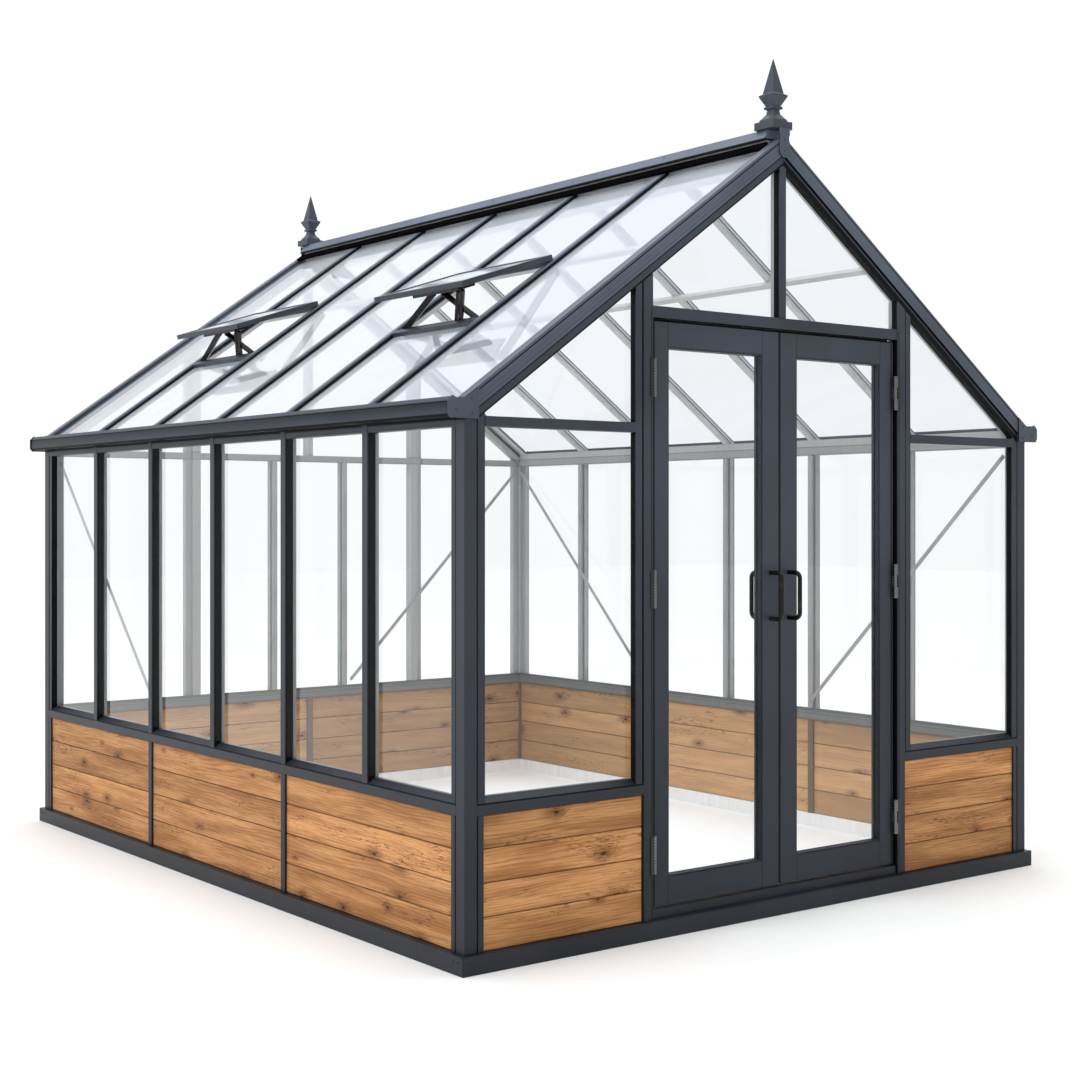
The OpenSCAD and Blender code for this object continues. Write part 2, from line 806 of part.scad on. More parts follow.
module leaf_frame() {
    a = leaf_x0 + hinge_stile_w;
    b = leaf_x1 - meeting_stile_w;
    box([leaf_x0, leaf_y0, leaf_z0], [a, leaf_y1, leaf_z1]);
    box([b, leaf_y0, leaf_z0], [leaf_x1, leaf_y1, leaf_z1]);
    box([a + seat, leaf_y0, leaf_z0], [b - seat, leaf_y1, leaf_z0 + bottom_rail_h]);
    box([a + seat, leaf_y0, leaf_z1 - top_rail_h], [b - seat, leaf_y1, leaf_z1]);
}

module leaf_glass() {
    mid = (leaf_y0 + leaf_y1) / 2;
    box([leaf_x0 + hinge_stile_w + seat, mid - glass_t / 2, leaf_z0 + bottom_rail_h + seat],
        [leaf_x1 - meeting_stile_w - seat, mid + glass_t / 2, leaf_z1 - top_rail_h - seat]);
}

// One bent-bar pull, standing out along -Y from a face at Y = 0, middle of its height at Z = 0
module pull() {
    r = pull_d / 2;
    arm = pull_reach - r - pull_bend;
    for (k = [0, 1]) mirror([0, 0, k]) {
        rise = pull_h / 2 - r;
        translate([0, 0, rise]) rotate([90, 0, 0]) cylinder(h = arm, r = r);
        translate([0, -arm, rise - pull_bend]) rotate([0, -90, 0]) rotate([0, 0, 270])
            rotate_extrude(angle = 90) translate([pull_bend, 0]) circle(r);
        translate([0, -arm - pull_bend, 0]) cylinder(h = rise - pull_bend, r = r);
    }
}

module leaf_pulls() {
    x = leaf_x1 - meeting_stile_w / 2;
    translate([x, leaf_y0, pull_z]) pull();
    translate([x, leaf_y1, pull_z]) mirror([0, 1, 0]) pull();
}

module left_door_frame() { color(frame_color) leaf_frame(); }
module left_door_glass() { color(glass_color) leaf_glass(); }
module left_door_hinges() { color(steel_color) leaf_hinges(); }
module left_door_pulls() { color(bronze_color) leaf_pulls(); }
module right_door_frame() { color(frame_color) mirror([1, 0, 0]) leaf_frame(); }
module right_door_glass() { color(glass_color) mirror([1, 0, 0]) leaf_glass(); }
module right_door_hinges() { color(steel_color) mirror([1, 0, 0]) leaf_hinges(); }
module right_door_pulls() { color(bronze_color) mirror([1, 0, 0]) leaf_pulls(); }

plinth();
corner_posts();
sill_rails();
skirt_dividers();
side_skirt_panels();
front_skirt_panels();
rear_skirt_panels();
eave_beams();
gutters();
gable_plates();
sash_stiles();
wall_bars();
cover_strips();
gable_transoms();
gable_posts();
door_head();
threshold();
king_posts();
gable_frames();
barge_boards();
finials();
ridge_beam();
ridge_cap();
ridge_flashings();
roof_bars();
bar_end_clips();
rafter_strips();
vent_trimmers();
vent_sashes();
vent_glass();
vent_openers();
left_wall_glass();
right_wall_glass();
front_glass();
rear_glass();
left_roof_glass();
right_roof_glass();
braces();
purlins();
jamb_hinges();
left_door_frame();
left_door_glass();
left_door_hinges();
left_door_pulls();
right_door_frame();
right_door_glass();
right_door_hinges();
right_door_pulls();
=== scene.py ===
"""Looks of the glass greenhouse: finishes for its frame, and the small pieces that dress it."""

import math
import random

import bmesh
import bpy
import numpy as np
from mathutils import Matrix, Vector


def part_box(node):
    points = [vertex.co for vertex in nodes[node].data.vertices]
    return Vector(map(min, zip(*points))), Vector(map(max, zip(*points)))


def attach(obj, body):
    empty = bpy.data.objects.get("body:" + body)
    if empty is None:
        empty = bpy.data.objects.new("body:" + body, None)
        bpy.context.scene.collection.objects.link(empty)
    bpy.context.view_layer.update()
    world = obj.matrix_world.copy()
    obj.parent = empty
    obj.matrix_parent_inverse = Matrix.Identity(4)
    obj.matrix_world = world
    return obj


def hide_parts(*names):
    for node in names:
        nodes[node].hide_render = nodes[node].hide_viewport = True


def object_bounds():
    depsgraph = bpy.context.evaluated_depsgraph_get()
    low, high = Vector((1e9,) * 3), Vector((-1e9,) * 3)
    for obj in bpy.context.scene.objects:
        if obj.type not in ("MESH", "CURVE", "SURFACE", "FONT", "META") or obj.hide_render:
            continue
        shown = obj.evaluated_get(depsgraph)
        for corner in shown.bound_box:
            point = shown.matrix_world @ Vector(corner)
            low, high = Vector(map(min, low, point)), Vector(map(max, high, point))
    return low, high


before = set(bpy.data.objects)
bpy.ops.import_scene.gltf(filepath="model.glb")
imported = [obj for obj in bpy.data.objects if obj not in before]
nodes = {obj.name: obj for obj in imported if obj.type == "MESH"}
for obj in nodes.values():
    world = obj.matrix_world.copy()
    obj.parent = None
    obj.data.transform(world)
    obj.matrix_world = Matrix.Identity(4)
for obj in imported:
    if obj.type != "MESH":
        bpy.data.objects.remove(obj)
cad_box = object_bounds()
X, Y, Z = Vector((1, 0, 0)), Vector((0, 1, 0)), Vector((0, 0, 1))
MM = 0.001

# The outer faces of the wall frame, which every depth is measured from
POST_LOW, POST_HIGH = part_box("corner_posts")
HALF_W = POST_HIGH.x
FRONT_Y, REAR_Y = POST_LOW.y, POST_HIGH.y
MID_Y = (FRONT_Y + REAR_Y) / 2
HALF_L = REAR_Y - MID_Y
APEX_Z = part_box("barge_boards")[1].z
PITCH = math.radians(35.5)
SKIRT_LOW, SKIRT_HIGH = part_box("side_skirt_panels")
BOARDS_HIGH = 4


# ---- reading the frame ----

def solids(node):
    """Corner points of each separate solid of a CAD node, from low X, Y and Z to high."""
    work = bmesh.new()
    work.from_mesh(nodes[node].data)
    bmesh.ops.remove_doubles(work, verts=work.verts, dist=0.01 * MM)
    left, found = set(work.verts), []
    while left:
        stack, group = [left.pop()], []
        while stack:
            vert = stack.pop()
            group.append(vert.co.copy())
            for edge in vert.link_edges:
                other = edge.other_vert(vert)
                if other in left:
                    left.remove(other)
                    stack.append(other)
        found.append(group)
    work.free()
    return sorted(found, key=lambda g: tuple(round(c, 4) for c in box_of(g)[0]))


def box_of(points):
    """Lowest and highest corner of some points."""
    return (Vector(map(min, *points)), Vector(map(max, *points)))


def boxes(node):
    """Lowest and highest corner of each separate solid of a CAD node."""
    return [box_of(points) for points in solids(node)]


def lie_of(points):
    """How a bar lies that runs along a slope: the matrix of its own frame, and its half sizes.
    X is its long way, Y is the frame's Y and Z is square to both, upward."""
    flat = np.array([(p.x, p.z) for p in points])
    spread = np.linalg.svd(flat - flat.mean(0), full_matrices=False)[2]
    along = Vector((spread[0][0], 0, spread[0][1])).normalized()
    if along.z < 0:
        along = -along
    up = along.cross(Y).normalized()
    if up.z < 0:
        up = -up
    turn = Matrix((along, Y, up)).transposed()
    low, high = box_of([turn.transposed() @ p for p in points])
    place = Matrix.Translation(turn @ ((low + high) / 2)) @ turn.to_4x4()
    return place, (high - low) / 2


def on_side_wall(point):
    return abs(point.x) > HALF_W - 60 * MM


# ---- building shapes ----

def prism(work, outline, start, end, side, out=None):
    """A bar from start to end. Its outline's first number runs along side, and its second
    square to that: along the run's cross product with side, or toward out where that is given."""
    run = end - start
    side = (side - run * (side.dot(run) / run.length_squared)).normalized()
    rise = run.normalized().cross(side)
    if out is not None and rise.dot(out) < 0:
        rise = -rise
    rings = [[work.verts.new(at + side * a + rise * b) for a, b in outline]
             for at in (start, end)]
    count = len(outline)
    faces = [work.faces.new([rings[0][k], rings[0][(k + 1) % count],
                             rings[1][(k + 1) % count], rings[1][k]]) for k in range(count)]
    faces.append(work.faces.new(rings[0][::-1]))
    faces.append(work.faces.new(rings[1]))
    return faces


def upright(work, outline, foot, bottom, top, side, out):
    """A bar that stands over a foot point, from one height to another."""
    start, end = (Vector((foot.x, foot.y, height)) for height in (bottom, top))
    prism(work, outline, start, end, side, out)


def rectangle(a0, a1, b0, b1, cut=0.0):
    """Outline of a rectangle with its corners cut off."""
    if not cut:
        return [(a0, b0), (a1, b0), (a1, b1), (a0, b1)]
    return [(a0 + cut, b0), (a1 - cut, b0), (a1, b0 + cut), (a1, b1 - cut),
            (a1 - cut, b1), (a0 + cut, b1), (a0, b1 - cut), (a0, b0 + cut)]


def lathe(work, at, axis, profile):
    """Turns a profile of radius and height about an axis that starts at a point."""
    sides = 14
    axis = axis.normalized()
    side = axis.orthogonal().normalized()
    other = axis.cross(side)
    rings = []
    for radius, height in profile:
        if not radius:
            rings.append([work.verts.new(at + axis * height)])
            continue
        rings.append([work.verts.new(at + axis * height + (side * math.cos(a)
                     + other * math.sin(a)) * radius)
                     for a in (math.tau * k / sides for k in range(sides))])
    for low, high in zip(rings, rings[1:]):
        for k in range(sides):
            corners = (low[k % len(low)], low[(k + 1) % len(low)],
                       high[(k + 1) % len(high)], high[k % len(high)])
            face = [v for i, v in enumerate(corners) if v not in corners[:i]]
            work.faces.new(face).smooth = True


def screw(work, at, axis, radius):
    """A pan-head screw: a low dome with a hollow drive."""
    profile = [(0, -0.2), (1, -0.2), (1, 0.15), (0.86, 0.42), (0.5, 0.56), (0.4, 0.56),
               (0.28, 0.22), (0, 0.22)]
    lathe(work, at, axis, [(radius * r, radius * h) for r, h in profile])


def finish_piece(work, name, body, material, bevel=0.0, replaces=()):
    """Makes a piece from a mesh under construction, and ties it to its body and slot."""
    bmesh.ops.recalc_face_normals(work, faces=work.faces)
    mesh = bpy.data.meshes.new(name)
    work.to_mesh(mesh)
    work.free()
    piece = bpy.data.objects.new(name, mesh)
    bpy.context.scene.collection.objects.link(piece)
    mesh.materials.append(material)
    if bevel:
        soften(piece, bevel)
    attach(piece, body)
    if replaces:
        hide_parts(*replaces)


def soften(obj, width):
    """Rounds the sharp edges of a piece a little, as a rolled or cast edge is."""
    weld = obj.modifiers.new("weld", "WELD")
    weld.merge_threshold = 0.01 * MM
    bevel = obj.modifiers.new("round_edges", "BEVEL")
    bevel.width = width
    bevel.segments = 2
    bevel.limit_method = "ANGLE"
    bevel.angle_limit = math.radians(35)


# ---- finishes ----

class Shader:
    """A material under construction, one node at a time."""

    def __init__(self, name):
        self.material = bpy.data.materials.new(name)
        self.material.use_nodes = True
        self.tree = self.material.node_tree
        self.tree.nodes.clear()
        self.place = self.add("TexCoord").outputs["Object"]

    def feed(self, socket, value):
        """Links a value to a socket, or sets it there if it's a constant."""
        if isinstance(value, bpy.types.NodeSocket):
            self.tree.links.new(value, socket)
        elif socket.type == "RGBA" and len(value) == 3:
            socket.default_value = (*value, 1)
        else:
            socket.default_value = value

    def add(self, kind, settings=None, **inputs):
        node = self.tree.nodes.new("ShaderNode" + kind)
        for key, value in (settings or {}).items():
            setattr(node, key, value)
        for key, value in inputs.items():
            self.feed(node.inputs[key.replace("_", " ")], value)
        return node

    def math(self, operation, *values):
        node = self.add("Math", {"operation": operation})
        for socket, value in zip(node.inputs, values):
            self.feed(socket, value)
        return node.outputs[0]

    def product(self, a, b):
        return self.math("MULTIPLY", a, b)

    def total(self, a, b):
        return self.math("ADD", a, b)

    def less(self, a, b):
        return self.math("SUBTRACT", a, b)

    def absolute(self, value):
        return self.math("ABSOLUTE", value)

    def most(self, first, *others):
        """The highest of some values."""
        for other in others:
            first = self.math("MAXIMUM", first, other)
        return first

    def parts(self, vector):
        return self.add("SeparateXYZ", Vector=vector).outputs

    def vector(self, x, y, z=0.0):
        return self.add("CombineXYZ", X=x, Y=y, Z=z).outputs[0]

    def noise(self, scale, detail, vector=None, rough=0.5):
        return self.add("TexNoise", Vector=vector or self.place, Scale=scale, Detail=detail,
                        Roughness=rough).outputs["Fac"]

    def streaks(self, across, upward):
        """Noise drawn out along Z: across and upward are its scales on the level and up."""
        x, y, z = self.parts(self.place)
        return self.noise(1.0, 3, self.vector(self.product(x, across), self.product(y, across),
                                              self.product(z, upward)))

    def ramp(self, value, low, high, to_low=0.0, to_high=1.0):
        """Maps low..high to to_low..to_high, smoothly and without passing the ends."""
        return self.add("MapRange", {"interpolation_type": "SMOOTHSTEP"}, Value=value,
                        From_Min=low, From_Max=high, To_Min=to_low,
                        To_Max=to_high).outputs[0]

    def band(self, value, low, high, soft):
        """One between low and high, nought outside, with a soft step at each."""
        return self.product(self.ramp(value, low - soft, low + soft),
                            self.ramp(value, high - soft, high + soft, 1.0, 0.0))

    def mix(self, share, a, b, blend="MIX"):
        node = self.add("Mix", {"data_type": "RGBA", "blend_type": blend})
        factor, first, second = (node.inputs[index] for index in (0, 6, 7))
        for socket, value in ((factor, share), (first, a), (second, b)):
            self.feed(socket, value)
        return node.outputs[2]

    def shade(self, colour, strength):
        """A colour made darker or brighter by a value that varies over the piece."""
        return self.mix(1.0, colour, self.vector(strength, strength, strength), "MULTIPLY")

    def blend(self, share, a, b):
        """Two closures mixed."""
        node = self.add("MixShader", Fac=share)
        self.feed(node.inputs[1], a)
        self.feed(node.inputs[2], b)
        return node.outputs[0]

    def bump(self, height, depth, strength):
        return self.add("Bump", Height=height, Distance=depth, Strength=strength).outputs[0]

    def surface(self, **inputs):
        return self.show(self.add("BsdfPrincipled", **inputs).outputs[0])

    def show(self, closure):
        output = self.tree.nodes.new("ShaderNodeOutputMaterial")
        self.tree.links.new(closure, output.inputs["Surface"])
        return self.material


def times(colour, factor):
    return tuple(factor * c for c in colour)


COAT = (0.0172, 0.0206, 0.0278)
COAT_LIGHT = (0.0246, 0.0296, 0.0400)
BLACK = (0.004, 0.004, 0.005)
DUST = (0.10, 0.097, 0.090)
INNER = (0.40, 0.41, 0.41)
INNER_DARK = (0.15, 0.16, 0.16)
# painted light: the base rail's inner faces lie in shade and are painted near white, like the
# floor
INNER_FLOOR_LIT = (0.93, 0.93, 0.92)
# painted light: linings on the far walls and slope, black on the near ones, are painted pale grey
FAR_SIDE_LIT = (0.34, 0.35, 0.35)
FAR_SLOPE_LIT = times(FAR_SIDE_LIT, 1.6)
# painted shade: dark brown for the faces inside the timber skirt and under the sill rails
SKIRT_SHADE_BROWN = (0.15, 0.085, 0.045)


def wall_depth(look, x, y):
    """How far a point lies behind the nearest outer face of the wall frame."""
    depth_x = look.less(HALF_W, look.absolute(x))
    depth_y = look.less(HALF_L, look.absolute(look.less(y, MID_Y)))
    return look.math("MINIMUM", depth_x, depth_y)


def roof_drop(look, x, z):
    """How far a point lies below the roof line, measured square to the slope."""
    line = look.less(APEX_Z, look.product(look.absolute(x), math.tan(PITCH)))
    return look.product(look.less(line, z), math.cos(PITCH))


def far_walls(look, x, y):
    """One on the right and rear walls, which are seen from inside through the near glass; their
    linings are painted pale grey there, as painted light.
    """
    return look.most(look.ramp(x, HALF_W - 50 * MM, HALF_W - 40 * MM),
                     look.ramp(y, REAR_Y - 50 * MM, REAR_Y - 40 * MM))


def far_slope(look, x):
    """One on the right-hand slope, nought on the left."""
    return look.ramp(x, 0.0, 5 * MM)


def powder_coat(name, inner=None, reveal=False, tone=1.0, marks=None, skirt=False, gloss=0.35):
    """Satin anthracite powder coat, with painted light: tone gives a lighter or darker copy of it
    for how light falls on a piece, and it is painted brighter higher up. With inner, the faces
    behind the glass have that colour; with reveal, the faces that lead back to the glass are
    black, partly rubber and partly painted shade in the recess, and pale grey on the far walls
    as painted light; with skirt, the faces inside the timber skirt are painted dark brown, as
    shade among the boards."""
    look = Shader(name)
    x, y, z = look.parts(look.place)
    drift = look.noise(2.2, 3)
    colour = look.mix(look.ramp(drift, 0.3, 0.7), times(COAT, tone), times(COAT_LIGHT, tone))
    # painted light: the coat is painted from 0.8 of its colour at the ground to 1.8 at the roof,
    # for the light that falls more on the upper parts
    colour = look.shade(colour, look.ramp(z, 0.0, 2.6, 0.80, 1.80))
    speck = look.noise(420, 2)
    if marks:
        colour = marks(look, x, y, z, colour)
    if inner or reveal:
        depth = wall_depth(look, x, y)
    if reveal:
        # painted light and shade: black in the recess, partly rubber and partly painted shade, and
        # pale grey on the far walls as painted light
        lining = look.mix(far_walls(look, x, y), BLACK, FAR_SIDE_LIT)
        colour = look.mix(look.ramp(depth, 2.5 * MM, 6 * MM), colour, lining)
    if inner:
        light = look.mix(look.streaks(40, 2), times(inner, 0.86), times(inner, 1.1))
        if inner == INNER:
            light = eave_bands(look, z, light)
        if inner == INNER_DARK:
            light = sill_bands(look, z, light)
        # painted shade: below the top of the skirt the inner faces are painted dark brown
        if skirt:
            top = SKIRT_HIGH.z
            light = look.mix(look.ramp(z, top - 2 * MM, top + 2 * MM, 1.0, 0.0), light, SKIRT_SHADE_BROWN)
        colour = look.mix(look.ramp(depth, 27 * MM, 30 * MM), colour, light)
    dust = look.product(look.ramp(z, 0.0, 0.22, 1.0, 0.0), look.ramp(drift, 0.35, 0.75, 0, 0.05))
    colour = look.mix(dust, colour, DUST)
    rough = look.total(look.ramp(drift, 0.25, 0.75, 0.33, 0.42), look.product(speck, 0.06))
    # black linings and painted shadow lines are matt, so the painted shade stays dark; the coat
    # itself is glossier away from the ground
    matt = look.ramp(look.parts(colour)[1], 0.005, 0.0105, 0.25, 1.0)
    shine = look.product(matt, look.ramp(z, 0.0, 1.4, 0.23, gloss))
    return look.surface(Base_Color=colour, Roughness=rough, Specular_IOR_Level=shine,
                        Normal=look.bump(speck, 0.05 * MM, 0.5))


def sill_bands(look, z, light):
    """The inside of a sill rail: a dark top edge, a fine line under it, and a shadow below."""
    low, high = (corner.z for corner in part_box("sill_rails"))
    edge = look.ramp(z, high - 13 * MM, high - 11 * MM, 0.0, 0.55)
    light = look.mix(edge, light, times(INNER, 0.14))
    line = look.band(z, high - 24 * MM, high - 20 * MM, 1 * MM)
    light = look.mix(look.product(line, 0.5), light, times(INNER, 0.12))
    return look.mix(look.ramp(z, low + 6 * MM, low + 9 * MM, 0.75, 0.0), light, SKIRT_SHADE_BROWN)


def eave_bands(look, z, light):
    """The inside of an eave beam: a dark lower half, a pale upper one, and lines at its foot."""
    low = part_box("eave_beams")[0].z
    lower = look.band(z, low, low + 34 * MM, 1 * MM)
    light = look.mix(look.product(lower, 0.5), light, times(INNER, 0.55))
    line = look.most(look.band(z, low + 33 * MM, low + 37 * MM, 1 * MM),
                     look.band(z, low + 1 * MM, low + 4 * MM, 1 * MM))
    return look.mix(look.product(line, 0.7), light, times(INNER, 0.3))


# Each of these paints shadow lines, and on the gutter a highlight as well, over the colour of one
# kind of piece.

def barge_marks(look, x, y, z, colour):
    """Painted shadow lines on a barge board: a dark one under its lip, one along its lower edge,
    and two fainter ones for ribs.
    """
    drop = roof_drop(look, x, z)
    low = look.band(drop, 50 * MM, 54 * MM, 0.6 * MM)
    under = look.band(drop, 8 * MM, 12 * MM, 0.8 * MM)
    ribs = look.most(look.band(drop, 38 * MM, 40.5 * MM, 0.6 * MM),
                     look.band(drop, 26 * MM, 27.5 * MM, 0.6 * MM))
    return look.mix(look.most(low, under, look.product(ribs, 0.45)), colour, BLACK)


def gable_marks(look, x, y, z, colour):
    """Shadow joints along the frame under a barge board; the right-hand one, which faces
    away from the light, is black all over its lower part."""
    drop = roof_drop(look, x, z)
    joint = look.band(drop, 50 * MM, 55.5 * MM, 0.8 * MM)
    lower = look.band(drop, 74 * MM, 90 * MM, 0.8 * MM)
    shaded = look.product(far_slope(look, x), look.band(drop, 62 * MM, 90 * MM, 0.8 * MM))
    return look.mix(look.most(joint, lower, shaded), colour, BLACK)


def bar_marks(look, x, y, z, colour):
    """A roof bar's top keeps its bright tone, a painted highlight; its sides are black on the left
    slope, partly rubber and partly painted shade, and pale grey on the right, as painted light.
    """
    side = look.mix(far_slope(look, x), BLACK, FAR_SLOPE_LIT)
    return look.mix(look.ramp(roof_drop(look, x, z), 9 * MM, 11 * MM), colour, side)


def cap_marks(look, x, y, z, colour):
    """The lower edge of the ridge capping turns under, in shadow."""
    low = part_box("ridge_cap")[0].z
    return look.mix(look.ramp(z, low + 7 * MM, low + 8.5 * MM, 1.0, 0.0), colour, BLACK)


def post_marks(look, x, y, z, colour):
    """A fine groove painted as a shadow line down the face of each door post from the top of the
    door head, and painted shadow beside each hinge."""
    edge = abs(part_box("threshold")[0].x)
    head_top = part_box("door_head")[1].z
    away = look.absolute(x)
    groove = look.product(look.band(away, edge + 4.5 * MM, edge + 8 * MM, 0.6 * MM),
                          look.ramp(z, head_top - 12 * MM, head_top - 2 * MM, 1.0, 0.0))
    colour = look.mix(groove, colour, BLACK)
    flap = look.band(away, edge - 10 * MM, edge + 9 * MM, 0.6 * MM)
    for low, high in boxes("left_door_hinges"):
        beside = look.band(z, low.z - 3 * MM, high.z + 3 * MM, 1 * MM)
        colour = look.mix(look.product(flap, beside), colour, BLACK)
    return colour


def plate_marks(look, x, y, z, colour):
    """The edges of a gable plate are in shadow."""
    low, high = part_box("gable_plates")
    from_middle = look.absolute(look.less(y, (low.y + high.y) / 2))
    behind = look.less((high.y - low.y) / 2, from_middle)
    return look.mix(look.ramp(behind, 1.6 * MM, 2.2 * MM), colour, BLACK)


def leaf_marks(look, x, y, z, colour):
    """Shadow joints on a door leaf: beside the hinges, wider on the left leaf, and where the
    rails meet the stiles."""
    side = abs(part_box("left_door_frame")[0].x)
    away = look.absolute(x)
    hinge = look.band(away, side - 14 * MM, side - 9.5 * MM, 0.8 * MM)
    edge = look.ramp(away, side - 3.5 * MM, side - 2.5 * MM)
    wide = look.product(look.ramp(away, side - 12 * MM, side - 11 * MM),
                        look.ramp(x, -1 * MM, 1 * MM, 1.0, 0.0))
    pane_low, pane_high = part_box("left_door_glass")
    rails = look.most(look.ramp(z, pane_high.z, pane_high.z + 1 * MM),
                      look.ramp(z, pane_low.z - 1 * MM, pane_low.z, 1.0, 0.0))
    joints = [look.band(away, abs(pane_x) + 1 * MM, abs(pane_x) + 3.5 * MM, 0.5 * MM)
              for pane_x in (pane_low.x, pane_high.x)]
    joint = look.product(look.most(*joints), look.product(rails, 0.55))
    return look.mix(look.most(edge, wide, hinge, joint), colour, BLACK)


def sill_marks(look, x, y, z, colour):
    """Painted shadow lines on a sill rail: one in the crease between its face and its sloping lip,
    and one at the top.
    """
    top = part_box("sill_rails")[1].z
    lower = look.band(z, top - 21 * MM, top - 16 * MM, 0.5 * MM)
    upper = look.band(z, top - 4 * MM, top + 1 * MM, 0.5 * MM)
    line = look.most(lower, look.product(upper, 0.8))
    outside = look.ramp(wall_depth(look, x, y), 22 * MM, 26 * MM, 1.0, 0.0)
    return look.mix(look.product(line, outside), colour, BLACK)


def eave_marks(look, x, y, z, colour):
    """The shadow of the gutter on the beam behind it, and a fine line along the beam."""
    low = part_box("gutters")[0].z
    shadow = look.ramp(z, low - 9 * MM, low - 5 * MM)
    line = look.product(look.band(z, low - 22 * MM, low - 19 * MM, 0.8 * MM), 0.6)
    return look.mix(look.most(shadow, line), colour, BLACK)


def gutter_marks(look, x, y, z, colour):
    """Painted light on a gutter: its upright face is painted darker toward the top, with a
    shadow line under its rolled top edge, a painted highlight on that edge, and a black
    underside as shade.
    """
    low, top = (corner.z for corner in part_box("gutters"))
    face = look.ramp(z, low + 10 * MM, top - 17 * MM, 0.0, 0.75)
    colour = look.mix(face, colour, times(COAT, 0.35))
    colour = look.mix(look.band(z, top - 18 * MM, top - 14.5 * MM, 0.6 * MM), colour, BLACK)
    colour = look.mix(look.ramp(z, top - 13 * MM, top - 11 * MM), colour, times(COAT_LIGHT, 2.2))
    return look.mix(look.ramp(z, low + 7 * MM, low + 9 * MM, 1.0, 0.0), colour, BLACK)


def aluminium(name, colour):
    """Pale drawn aluminium, with faint lines along the drawing."""
    look = Shader(name)
    lines = look.streaks(300, 6)
    tone = look.mix(look.ramp(look.noise(5, 3), 0.3, 0.7), times(colour, 0.84), colour)
    tone = look.mix(look.product(lines, 0.25), tone, times(colour, 0.6))
    return look.surface(Base_Color=tone, Metallic=0.25, Specular_IOR_Level=0.4,
                        Roughness=look.ramp(lines, 0.3, 0.7, 0.38, 0.52),
                        Normal=look.bump(lines, 0.03 * MM, 0.6))


def rubber(name, gloss=0.25, far=None):
    """Black glazing rubber and plastic, deeper black where it has no gloss, which on the ridge
    flashings is painted shade. With far, it is painted grey on the far walls, or on the far
    slope, as painted light."""
    look = Shader(name)
    grain = look.noise(700, 3)
    share = 1.0 if gloss else 0.35
    tone = look.mix(look.noise(9, 2), times((0.006, 0.006, 0.007), share),
                    times((0.013, 0.013, 0.014), share))
    x, y, z = look.parts(look.place)
    if far == "wall":
        tone = look.mix(far_walls(look, x, y), tone, FAR_SIDE_LIT)
    if far == "slope":
        tone = look.mix(far_slope(look, x), tone, FAR_SLOPE_LIT)
    return look.surface(Base_Color=tone, Specular_IOR_Level=gloss,
                        Roughness=look.ramp(grain, 0.3, 0.7, 0.5, 0.65),
                        Normal=look.bump(grain, 0.05 * MM, 0.4))


def steel(name):
    """Satin stainless steel knuckles, brushed round and ringed, on black hinge flaps."""
    look = Shader(name)
    x, y, z = look.parts(look.place)
    brush = look.noise(1.0, 3, look.vector(look.product(z, 900), 0.0))
    tone = look.mix(brush, (0.13, 0.13, 0.134), (0.25, 0.25, 0.256))
    knuckle = 9 * MM
    ring = look.math("SINE", look.product(z, math.tau / knuckle))
    tone = look.mix(look.ramp(ring, 0.2, 0.9, 0.0, 0.6), tone, (0.03, 0.03, 0.03))
    edge = abs(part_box("left_door_hinges")[0].x) - 1 * MM
    flap = look.ramp(look.absolute(x), edge, edge + 1 * MM)
    tone = look.mix(flap, tone, BLACK)
    return look.surface(Base_Color=tone, Metallic=look.ramp(flap, 0.0, 1.0, 0.85, 0.0),
                        Roughness=look.ramp(brush, 0.3, 0.7, 0.34, 0.48),
                        Normal=look.bump(brush, 0.03 * MM, 0.4))


def bronze(name):
    """Oil-rubbed bronze, nearly black, with a warm sheen where hands wear it."""
    look = Shader(name)
    wear = look.ramp(look.noise(34, 4), 0.5, 0.75)
    tone = look.mix(wear, (0.006, 0.005, 0.004), (0.042, 0.026, 0.016))
    fine = look.noise(260, 3)
    return look.surface(Base_Color=tone, Metallic=0.55,
                        Roughness=look.ramp(fine, 0.3, 0.7, 0.26, 0.40),
                        Normal=look.bump(fine, 0.05 * MM, 0.5))


def glass(name, tint, haze, veil=0.0, ior=1.5, film=(0.84, 0.86, 0.88)):
    """A clear pane: it mirrors more at a low angle, and carries a trace of dust. With veil, its
    upper face whitens as it is seen more along it, partly a dust film and partly a painted
    reflection in the film's tint, and its under face mirrors little."""
    look = Shader(name)
    geometry = look.add("NewGeometry").outputs
    front = look.less(1.0, geometry["Backfacing"])
    fresnel = look.add("Fresnel", IOR=ior).outputs[0]
    both_faces = look.math("DIVIDE", look.product(fresnel, 2.0), look.total(fresnel, 1.0))
    share = look.product(both_faces, front)
    dust = look.ramp(look.noise(1.7, 4), 0.3, 0.8, 0.5 * haze, 1.5 * haze)
    if veil:
        upper = look.ramp(look.parts(geometry["True Normal"])[2], -0.1, 0.1)
        share = look.product(share, look.ramp(upper, 0.0, 1.0, 0.2, 1.0))
        # painted reflection: the tinted film is laid on more where the mirror's share rises at a
        # low angle
        whitening = look.product(look.ramp(fresnel, 0.04, 0.30), look.product(upper, veil))
        dust = look.total(dust, whitening)
    wave = look.bump(look.noise(3.0, 2), 0.4 * MM, 0.25)
    clear = look.add("BsdfTransparent", Color=tint).outputs[0]
    mirror = look.add("BsdfGlossy", Color=(1, 1, 1), Roughness=0.03, Normal=wave).outputs[0]
    cloud = look.blend(0.5, look.add("BsdfDiffuse", Color=film).outputs[0],
                       look.add("BsdfTranslucent", Color=film).outputs[0])
    return look.show(look.blend(look.product(dust, front), look.blend(share, clear, mirror),
                                cloud))


